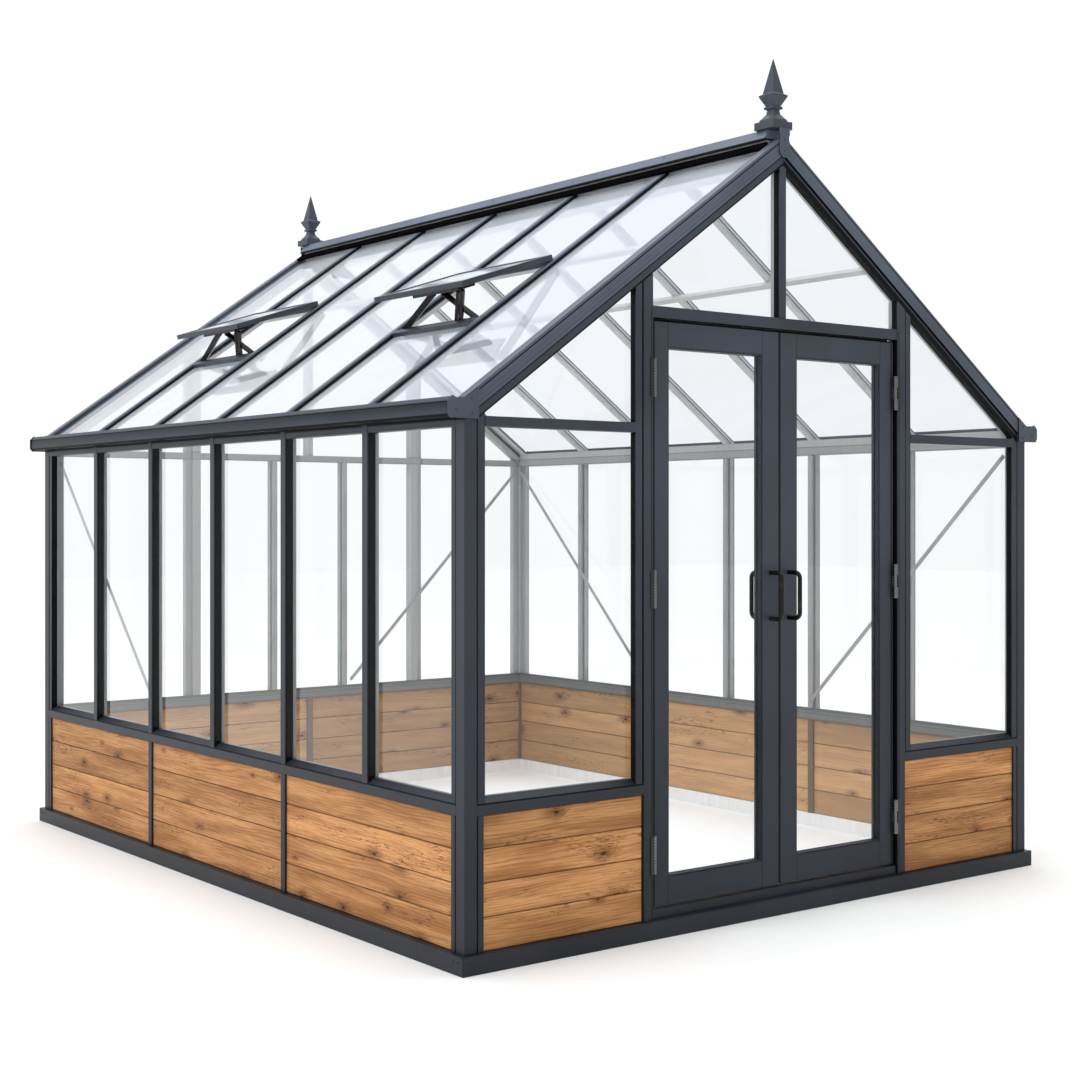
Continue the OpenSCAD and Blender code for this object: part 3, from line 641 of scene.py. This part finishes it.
WOOD_PALE = (0.68, 0.345, 0.136)
WOOD_DEEP = (0.40, 0.173, 0.058)
WOOD_RING = (0.27, 0.105, 0.034)
WOOD_STREAK = (0.20, 0.078, 0.027)
WOOD_FIBRE = (0.25, 0.105, 0.038)
WOOD_INSIDE = (0.56, 0.36, 0.17)
WOOD_HALO = (0.18, 0.068, 0.022)
WOOD_FLECK = (0.085, 0.034, 0.014)
WOOD_KNOT = (0.050, 0.022, 0.011)
WOOD_JOINT_SHADE = (0.055, 0.025, 0.012)


def timber(name):
    """Oiled softwood boards laid flat: fine grain, dark flecks, and knots with brown halos."""
    look = Shader(name)
    x, y, z = look.parts(look.place)
    board = look.add("Attribute", {"attribute_name": "board"}).outputs["Fac"]
    seed = look.product(board, 61.0)
    along = look.total(look.total(x, y), seed)

    def grain(lengthwise, upward, detail, shift=seed, rough=0.5):
        """Noise with its own scale along the boards and up them."""
        at = look.vector(look.product(along, lengthwise), look.product(z, upward), shift)
        return look.noise(1.0, detail, at, rough)

    # knots, each with a ragged edge and a halo
    knot_map = look.vector(look.product(along, 4.2), look.total(look.product(z, 9.0), seed))
    cell = look.add("TexVoronoi", {"voronoi_dimensions": "2D"}, Vector=knot_map, Scale=1.0,
                    Randomness=0.9)
    size = look.ramp(look.parts(cell.outputs["Color"])[0], 0.35, 0.95, 0.0, 0.055)
    ragged = look.less(look.product(look.noise(70, 4), 0.075), 0.037)
    away = look.total(cell.outputs["Distance"], ragged)
    near = look.math("DIVIDE", away, look.total(size, 0.001))
    present = look.ramp(size, 0.008, 0.02)
    knot = look.product(look.ramp(near, 0.4, 1.3, 1.0, 0.0), present)
    halo = look.product(look.ramp(near, 0.6, 6.5, 1.0, 0.0), present)

    # rings of growth, which sway and bend round the knots
    lines = look.total(look.product(z, 92.0), look.product(grain(1.5, 9, 2), 7.0))
    lines = look.total(lines, look.product(halo, 2.2))
    full_turn = 6.283
    wave = look.math("SINE", look.product(lines, full_turn))
    ring = look.total(look.product(wave, 0.5), 0.5)

    fibre = grain(16, 620, 4, rough=0.6)
    broad = grain(2.4, 24, 3)
    streak = look.ramp(grain(6.5, 230, 3, rough=0.6), 0.50, 0.66)
    cluster = look.total(grain(3.6, 17, 2, look.total(seed, 7.0)), look.product(halo, 0.22))
    flecks = look.product(look.ramp(grain(34, 260, 3, rough=0.55), 0.54, 0.64),
                          look.ramp(cluster, 0.52, 0.66))
    ring_share = look.product(look.ramp(ring, 0.55, 1.0),
                              look.ramp(broad, 0.3, 0.7, 0.20, 0.65))
    tone = look.mix(look.ramp(broad, 0.3, 0.72), WOOD_PALE, WOOD_DEEP)
    tone = look.mix(ring_share, tone, WOOD_RING)
    tone = look.mix(look.product(streak, 0.5), tone, WOOD_STREAK)
    tone = look.mix(look.ramp(fibre, 0.35, 0.75, 0.0, 0.42), tone, WOOD_FIBRE)
    inside = look.product(look.ramp(wall_depth(look, x, y), 20 * MM, 30 * MM), 0.45)
    tone = look.mix(inside, tone, WOOD_INSIDE)
    tone = look.mix(look.product(halo, 0.72), tone, WOOD_HALO)
    tone = look.mix(look.product(flecks, 0.8), tone, WOOD_FLECK)
    tone = look.mix(knot, tone, WOOD_KNOT)

    # a dark joint between boards, deepened as painted shade in the V groove, and a tone of its own
    # for each
    boards_per_metre = BOARDS_HIGH / (SKIRT_HIGH.z - SKIRT_LOW.z)
    step = look.math("FRACT", look.product(look.less(z, SKIRT_LOW.z), boards_per_metre))
    joint = look.ramp(look.absolute(look.less(step, 0.5)), 0.468, 0.492, 0.0, 0.7)
    tone = look.mix(joint, tone, WOOD_JOINT_SHADE)
    tone = look.shade(tone, look.ramp(board, 0.0, 1.0, 0.84, 1.14))
    height = look.less(look.product(fibre, 0.7), look.product(ring, 0.3))
    return look.surface(Base_Color=tone, Specular_IOR_Level=0.17,
                        Roughness=look.ramp(fibre, 0.3, 0.7, 0.5, 0.68),
                        Normal=look.bump(height, 0.5 * MM, 0.6))


def plain_floor(name):
    """Pale floor, with the least trace of unevenness, and painted lighter within the walls, as
    painted light against the shade of the roof and walls.
    """
    look = Shader(name)
    tone = look.mix(look.noise(1.5, 3), (0.865, 0.865, 0.862), (0.885, 0.885, 0.882))
    x, y, z = look.parts(look.place)
    within = look.ramp(wall_depth(look, x, y), 20 * MM, 40 * MM)
    tone = look.mix(within, tone, (0.96, 0.96, 0.958))
    return look.surface(Base_Color=tone, Roughness=0.9, Specular_IOR_Level=0.1)


# Painted light: the tones below make lighter and darker copies of the one coat, for how light
# falls on each kind of piece; the bright tones of the barge boards, lip, capping and roof bars
# paint the light from above as highlights
coat = powder_coat("anthracite_coat")
coat_high = powder_coat("anthracite_coat_roof_edge", tone=2.1, marks=barge_marks)
coat_plate = powder_coat("anthracite_coat_plates", tone=1.8, marks=plate_marks)
coat_finial = powder_coat("anthracite_coat_finials", tone=1.15)
coat_gable = powder_coat("anthracite_coat_gable", INNER, reveal=True, marks=gable_marks)
coat_eave = powder_coat("anthracite_coat_eave", INNER, reveal=True, marks=eave_marks)
coat_corner = powder_coat("anthracite_coat_corners", INNER, reveal=True, skirt=True)
coat_divider = powder_coat("anthracite_coat_dividers", INNER_DARK, skirt=True)
coat_cap = powder_coat("anthracite_coat_capping", tone=2.9, marks=cap_marks)
coat_lip = powder_coat("anthracite_coat_lip", tone=3.6)
coat_leaf = powder_coat("anthracite_coat_leaf", tone=1.2, marks=leaf_marks)
coat_post = powder_coat("anthracite_coat_post", INNER, reveal=True, marks=post_marks, skirt=True)
coat_roof = powder_coat("anthracite_coat_roof_bars", tone=2.8, marks=bar_marks)
coat_bead = powder_coat("anthracite_coat_beads", tone=0.7)
coat_gutter = powder_coat("anthracite_coat_gutter", tone=1.1, marks=gutter_marks, gloss=0.13)
coat_bar = powder_coat("anthracite_coat_rubber_and_painted_light_sides", reveal=True)
coat_two = powder_coat("anthracite_coat_pale_inside", INNER, reveal=True)
coat_sill = powder_coat("anthracite_coat_grey_inside", INNER_DARK, marks=sill_marks)
# painted light: the base rail's inner faces, in shade, are painted near white like the floor
coat_base = powder_coat("anthracite_coat_base", INNER_FLOOR_LIT)
pale = aluminium("pale_aluminium", INNER)
bright = aluminium("bright_aluminium", (0.64, 0.65, 0.65))
black = rubber("black_rubber")
black_and_painted_shade = rubber("matt_black_and_painted_shade", 0.0)
wall_rubber = rubber("wall_rubber", far="wall")
roof_rubber = rubber("roof_rubber", 0.1, far="slope")
satin = steel("satin_steel")
satin_bolt = aluminium("satin_bolt_metal", (0.38, 0.38, 0.39))
dark_bronze = bronze("dark_bronze")
wall_pane = glass("wall_glass", (0.985, 0.991, 0.993), 0.010, ior=1.31)
roof_pane = glass("roof_glass", (0.957, 0.964, 0.977), 0.06, veil=0.32, film=(0.82, 0.88, 0.96))
boards = timber("oiled_boards")

FINISHES = {
    coat: ["vent_trimmers", "vent_sashes", "threshold"],
    coat_leaf: ["left_door_frame", "right_door_frame"],
    coat_high: ["barge_boards"],
    coat_plate: ["gable_plates"],
    coat_finial: ["finials"],
    coat_roof: ["roof_bars"],
    coat_cap: ["ridge_cap"],
    coat_gutter: ["gutters"],
    coat_bar: ["wall_bars"],
    coat_two: ["sash_stiles", "gable_transoms", "door_head", "king_posts"],
    coat_corner: ["corner_posts"],
    coat_eave: ["eave_beams"],
    coat_gable: ["gable_frames"],
    coat_post: ["gable_posts"],
    coat_sill: ["sill_rails"],
    coat_divider: ["skirt_dividers"],
    coat_base: ["plinth"],
    pale: ["cover_strips", "braces"],
    bright: ["rafter_strips", "purlins", "ridge_beam"],
    # painted shade: the ridge flashings' matt black stands for the shadow under the capping
    black_and_painted_shade: ["bar_end_clips", "ridge_flashings"],
    satin: ["jamb_hinges", "left_door_hinges", "right_door_hinges"],
    dark_bronze: ["vent_openers", "left_door_pulls", "right_door_pulls"],
    wall_pane: ["left_wall_glass", "right_wall_glass", "front_glass", "rear_glass",
                "left_door_glass", "right_door_glass"],
    roof_pane: ["left_roof_glass", "right_roof_glass", "vent_glass"],
    boards: ["side_skirt_panels", "front_skirt_panels", "rear_skirt_panels"],
}
LEFT_SHARP = (satin, dark_bronze, wall_pane, roof_pane, boards)
EDGE = 1.4 * MM
for finish, names in FINISHES.items():
    for node in names:
        nodes[node].data.materials.clear()
        nodes[node].data.materials.append(finish)
        if finish not in LEFT_SHARP:
            soften(nodes[node], EDGE)


# ---- timber skirt ----

BOARD_GAP = 0.4 * MM
GROOVE = 3.2 * MM
TONGUE = 3 * MM
POST_SIZE = min(boxes("corner_posts")[0][1] - boxes("corner_posts")[0][0])
STRIP_FOOT, STRIP_TOP = SKIRT_LOW.z + 0.5 * MM, SKIRT_HIGH.z - 0.5 * MM


def skirt(node, name, seed):
    """Boards laid flat in each panel of a node, with a V groove where two boards meet."""
    draw = random.Random(seed)
    work = bmesh.new()
    tone = work.faces.layers.float.new("board")
    for low, high in boxes(node):
        size = high - low
        along, across = (X, Y) if size.x > size.y else (Y, X)
        thick, tall = size.dot(across), size.z / BOARDS_HIGH
        board = rectangle(0, thick, 0, tall - BOARD_GAP, GROOVE)
        tongue = rectangle(TONGUE, thick - TONGUE, -TONGUE, TONGUE)
        for k in range(BOARDS_HIGH):
            start = low + Z * k * tall
            end = start + along * size.dot(along)
            faces = prism(work, board, start, end, across, Z)
            if k:
                faces += prism(work, tongue, start, end, across, Z)
            drawn = draw.random()
            for face in faces:
                face[tone] = drawn
    finish_piece(work, name, "house", boards, replaces=(node,))


def beside_posts():
    """Both ways along the walls from each corner: the corner, the way, and outward there."""
    for kx in (-1, 1):
        for ky in (-1, 1):
            corner = Vector((kx * HALF_W, MID_Y + ky * HALF_L, 0))
            yield corner, X * -kx, Y * ky
            yield corner, Y * -ky, X * kx


def skirt_strips():
    """Strips that run down beside the corner posts, over the ends of the boards."""
    gap, wide, deep, cut = 5 * MM, 20 * MM, 7 * MM, 1 * MM
    outline = [(0, -deep), (wide, -deep), (wide, -cut), (wide - cut, 0), (cut, 0), (0, -cut)]
    work = bmesh.new()
    for corner, along, out in beside_posts():
        foot = corner + along * (POST_SIZE + gap)
        upright(work, outline, foot, STRIP_FOOT, STRIP_TOP, along, out)
    finish_piece(work, "skirt_strips", "house", coat)


def post_linings():
    """Black rubber beside the corner posts, and beside the front posts that carry the doors."""
    lap, back = 1 * MM, -9 * MM
    work = bmesh.new()
    for corner, along, out in beside_posts():
        foot = corner + along * (POST_SIZE - lap)
        outline = rectangle(0, 7 * MM, back, -6 * MM)
        upright(work, outline, foot, STRIP_FOOT, STRIP_TOP, along, out)
    for low, high in boxes("gable_posts"):
        if low.y > MID_Y:
            continue
        k = math.copysign(1, (low + high).x)
        foot = Vector((k * (max(abs(low.x), abs(high.x)) - lap), FRONT_Y, 0))
        outline = rectangle(0, 5 * MM, back, -5 * MM)
        upright(work, outline, foot, STRIP_FOOT, STRIP_TOP, X * k, -Y)
    finish_piece(work, "post_linings", "house", black)


skirt("side_skirt_panels", "side_boards", 11)
skirt("front_skirt_panels", "front_boards", 12)
skirt("rear_skirt_panels", "rear_boards", 13)
skirt_strips()
post_linings()


# ---- glazing rubbers ----

def wall_rubbers():
    """Glazing rubbers down both sides of each wall bar, between its face and the glass."""
    lap, proud, face_strip = 1 * MM, 2 * MM, 7 * MM
    work = bmesh.new()
    for low, high in boxes("wall_bars"):
        middle, size = (low + high) / 2, high - low
        if on_side_wall(middle):
            side, out, face = Y, X * math.copysign(1, middle.x), HALF_W
        else:
            side, out, face = X, Y, REAR_Y
        depth = abs(size.dot(out))
        outline = [(-lap, -face_strip), (proud / 2, -face_strip - lap), (proud, -depth + 5 * MM),
                   (2 * proud, -depth), (-lap, -depth)]
        for k in (-1, 1):
            foot = middle + out * (face - middle.dot(out)) + side * k * size.dot(side) / 2
            upright(work, outline, foot, low.z + 24 * MM, high.z - 0.5 * MM, side * k, out)
    finish_piece(work, "wall_rubbers", "house", wall_rubber)


def roof_rubbers():
    """Rubbers along both sides of each roof bar, down to the glass."""
    lap = 1 * MM
    work = bmesh.new()
    for points in solids("roof_bars"):
        place, half = lie_of(points)
        up = place.to_3x3() @ Z
        outline = [(-lap, -0.2 * half.z), (1 * MM, -0.3 * half.z), (2 * MM, -half.z),
                   (-lap, -half.z)]
        for k in (-1, 1):
            start, end = (place @ Vector((x, k * half.y, 0)) for x in (-half.x, half.x))
            prism(work, outline, start, end, Y * k, up)
    finish_piece(work, "roof_rubbers", "house", roof_rubber)


def bar_heads():
    """Cover plates that carry the faces of the side bars up over the eave beams."""
    lap, thick = 1 * MM, 1.5 * MM
    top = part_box("gutters")[0].z - 1.5 * MM
    work = bmesh.new()
    for low, high in boxes("wall_bars"):
        middle, half = (low + high) / 2, (high.y - low.y) / 2
        if on_side_wall(middle):
            k = math.copysign(1, middle.x)
            outline = rectangle(-half, half, -lap, thick)
            foot = Vector((k * HALF_W, middle.y, 0))
            upright(work, outline, foot, high.z - lap, top, Y, X * k)
    finish_piece(work, "bar_heads", "house", coat)


wall_rubbers()
roof_rubbers()
bar_heads()


# ---- doors ----

def door_beads(side):
    """Glazing beads round the glass of a leaf, on both faces."""
    low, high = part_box(side + "_door_glass")
    leaf_low, leaf_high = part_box(side + "_door_frame")
    wide, thin, clear = 7 * MM, 3 * MM, 0.2 * MM
    work = bmesh.new()
    for face_y, glass_y in ((leaf_low.y, low.y), (leaf_high.y, high.y)):
        out = math.copysign(1, face_y - glass_y)
        deep = abs(face_y - glass_y) - 3 * MM
        outline = [(0, clear), (wide, clear), (wide, thin), (wide - 2 * MM, deep), (0, deep)]
        rings = []
        for x, z, kx, kz in ((low.x, low.z, 1, 1), (high.x, low.z, -1, 1),
                             (high.x, high.z, -1, -1), (low.x, high.z, 1, -1)):
            rings.append([work.verts.new((x + kx * a, glass_y + out * b, z + kz * a))
                          for a, b in outline])
        for ring, after in zip(rings, rings[1:] + rings[:1]):
            for k in range(len(outline)):
                n = (k + 1) % len(outline)
                work.faces.new([ring[k], ring[n], after[n], after[k]])
    finish_piece(work, side + "_door_beads", side + "_door", coat_bead)


def door_stops():
    """The black angles behind the door head and posts that the leaves close against."""
    low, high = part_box("door_head")
    leaf_low, leaf_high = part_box("left_door_frame")
    clear, wide, flange = 5.5 * MM, 4 * MM, 12 * MM
    fixed, back = high.y - 0.2 * MM, leaf_high.y + clear

    def angle(edge, lap):
        """Section of a stop: its flange stands past edge, and its other leg reaches lap."""
        top = edge + flange
        return [(fixed, top), (back + wide, top), (back + wide, lap), (back, lap),
                (back, top - wide), (fixed, top - wide)]

    work = bmesh.new()
    jamb = abs(leaf_low.x) + clear
    half = jamb + flange
    prism(work, angle(low.z, leaf_high.z - 9 * MM), X * -half, X * half, Y)
    for k in (-1, 1):
        start, end = Z * (leaf_low.z - 4 * MM), Z * low.z
        prism(work, angle(jamb, jamb - 15 * MM), start, end, Y, X * k)
    finish_piece(work, "door_stops", "house", black)


def meeting_seal(side):
    """Weather seal down the meeting edge of a leaf, near its outer face."""
    low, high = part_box(side + "_door_frame")
    k, edge_x = (1, high.x) if side == "left" else (-1, low.x)
    inset = 2 * MM
    outline = [(-1 * MM, 0), (3.6 * MM, 1 * MM), (4 * MM, 4 * MM), (3.6 * MM, 7 * MM),
               (-1 * MM, 8 * MM)]
    work = bmesh.new()
    foot = Vector((edge_x, low.y + inset, 0))
    upright(work, outline, foot, low.z + inset, high.z - inset, X * k, Y)
    finish_piece(work, side + "_meeting_seal", side + "_door", black)


for leaf in ("left", "right"):
    door_beads(leaf)
    meeting_seal(leaf)
door_stops()


# ---- roof edge ----

def barge_lips():
    """The rolled lip along the top of each barge board, on its outer face."""
    lap, proud = 1 * MM, 2.5 * MM
    work = bmesh.new()
    for points in solids("barge_boards"):
        place, half = lie_of(points)
        local = [place.inverted() @ p for p in points]
        top = [p.x for p in local if p.z > half.z - 0.5 * MM]
        k = -1 if sum(p.y for p in points) / len(points) < MID_Y else 1
        outline = [(-lap, half.z), (proud, half.z - 0.5 * MM), (proud, half.z - 6 * MM),
                   (-lap, half.z - 8 * MM)]
        start = place @ Vector((min(top) + 1 * MM, k * half.y, 0))
        end = place @ Vector((max(top) - 1 * MM, k * half.y, 0))
        prism(work, outline, start, end, Y * k, place.to_3x3() @ Z)
    finish_piece(work, "barge_lips", "house", coat_lip, 0.5 * MM)


barge_lips()


# ---- screws and bolts ----

def gable_screws():
    """Screws through the gable plates: three at each gutter, two at each ridge plate."""
    ridge_zone = 200 * MM
    work = bmesh.new()
    for low, high in boxes("gable_plates"):
        middle = (low + high) / 2
        out, face = (-Y, low.y) if middle.y < MID_Y else (Y, high.y)
        if abs(middle.x) < ridge_zone:
            spots = [(middle.x, low.z + 22 * MM), (middle.x, low.z + 60 * MM)]
        else:
            k = math.copysign(1, middle.x)
            spots = [(k * (HALF_W - 20 * MM), high.z - 34 * MM),
                     (k * (HALF_W - 22 * MM), low.z + 14 * MM),
                     (k * (HALF_W + 34 * MM), low.z + 24 * MM)]
        for x, z in spots:
            screw(work, Vector((x, face, z)), out, 3.6 * MM)
    finish_piece(work, "gable_screws", "house", coat)


def base_screws():
    """Screws that hold the corner posts to the base rail, on its front and side faces."""
    low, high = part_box("plinth")
    radius = 3.2 * MM
    work = bmesh.new()
    for kx in (-1, 1):
        for ky, y_face in ((-1, low.y), (1, high.y)):
            corner = Vector((kx * high.x, y_face, high.z - 18 * MM))
            for away in (26 * MM, 52 * MM):
                if ky < 0:
                    screw(work, corner + X * -kx * away, -Y, radius)
                screw(work, corner + Y * -ky * away, X * kx, radius)
    finish_piece(work, "base_screws", "house", coat)


def brace_bolts():
    """Dome-headed bolts through both ends of each brace."""
    radius, end_zone, inset, thin = 6.5 * MM, 30 * MM, 14 * MM, 20 * MM
    profile = [(0, -1 * MM), (radius, -1 * MM), (radius, 1.5 * MM), (5 * MM, 4 * MM),
               (2 * MM, 5 * MM), (0, 5 * MM)]
    work = bmesh.new()
    for points in solids("braces"):
        low, high = box_of(points)
        axis, centre = (X, 0) if high.x - low.x < thin else (Y, MID_Y)
        inward = -1 if (low + high).dot(axis) / 2 > centre else 1
        face = (low if inward < 0 else high).dot(axis)
        top = [p for p in points if p.z > high.z - end_zone]
        foot = [p for p in points if p.z < low.z + end_zone]
        top, foot = (sum(group, Vector()) / len(group) for group in (top, foot))
        run = (foot - top).normalized()
        for spot in (top + run * inset, foot - run * inset):
            spot += axis * (face - spot.dot(axis))
            lathe(work, spot, axis * inward, profile)
    finish_piece(work, "brace_bolts", "house", satin_bolt)


gable_screws()
base_screws()
brace_bolts()


# ---- view, light and floor ----

def camera():
    """The photo's view: level, from the front left, its frame shifted down a little."""
    data = bpy.data.cameras.new("camera")
    data.lens = 57.2
    data.sensor_width = 36.0
    data.shift_y = -0.0211
    made = bpy.data.objects.new("camera", data)
    made.location = (-4.139, -5.656, 1.325)
    made.rotation_euler = (math.radians(90), 0, math.radians(-37.427))
    bpy.context.scene.collection.objects.link(made)
    bpy.context.scene.camera = made


def area_light(name, at, target, size, watts, colour):
    data = bpy.data.lights.new(name, "AREA")
    data.shape = "RECTANGLE"
    data.size, data.size_y = size
    data.energy = watts
    data.color = colour
    made = bpy.data.objects.new(name, data)
    made.location = at
    made.rotation_euler = (Vector(target) - Vector(at)).to_track_quat("-Z", "Y").to_euler()
    bpy.context.scene.collection.objects.link(made)


def sky():
    """White all round, a little blue higher up, bright overhead, and dimmer in front of the
    doors."""
    world = bpy.data.worlds.new("studio")
    bpy.context.scene.world = world
    world.use_nodes = True
    tree = world.node_tree

    def add(kind, **inputs):
        node = tree.nodes.new("ShaderNode" + kind)
        for key, value in inputs.items():
            socket = node.inputs[key.replace("_", " ")]
            if isinstance(value, bpy.types.NodeSocket):
                tree.links.new(value, socket)
            else:
                socket.default_value = value
        return node

    x, y, z = add("SeparateXYZ", Vector=add("TexCoord").outputs["Generated"]).outputs
    blue = add("ValToRGB", Fac=z)
    stops = ((0.38, (1, 1, 1, 1)), (0.55, (0.80, 0.88, 1.0, 1)), (0.68, (0.85, 0.91, 1.0, 1)),
             (0.84, (2.0, 1.97, 1.90, 1)))
    while len(blue.color_ramp.elements) < len(stops):
        blue.color_ramp.elements.new(0.5)
    for stop, (position, colour) in zip(blue.color_ramp.elements, stops):
        stop.position = position
        stop.color = colour
    dim = add("MapRange", Value=y, From_Min=-0.6, From_Max=0.05, To_Min=0.55, To_Max=1.02)
    tree.links.new(blue.outputs[0], tree.nodes["Background"].inputs["Color"])
    tree.links.new(dim.outputs[0], tree.nodes["Background"].inputs["Strength"])


def floor():
    half = 30.0
    low = cad_box[0].z
    corners = [(-half, -half, low), (half, -half, low), (half, half, low), (-half, half, low)]
    mesh = bpy.data.meshes.new("floor")
    mesh.from_pydata(corners, [], [(0, 1, 2, 3)])
    mesh.materials.append(plain_floor("pale_floor"))
    made = bpy.data.objects.new("floor", mesh)
    bpy.context.scene.collection.objects.link(made)


camera()
sky()
floor()
area_light("left_window", (-7.5, -1.0, 5.5), (0, 0, 1.6), (4.0, 4.0), 110, (0.92, 0.96, 1.0))
area_light("upper_front", (-1.5, -7.0, 5.5), (0, -1.6, 2.2), (3.0, 2.0), 50, (0.95, 0.97, 1.0))
area_light("overhead", (0.0, 0.0, 7.5), (0, 0, 0), (7.0, 7.0), 150, (1.0, 0.985, 0.96))
bpy.context.scene.view_settings.view_transform = "Standard"
bpy.context.scene.cycles.transparent_max_bounces = 24
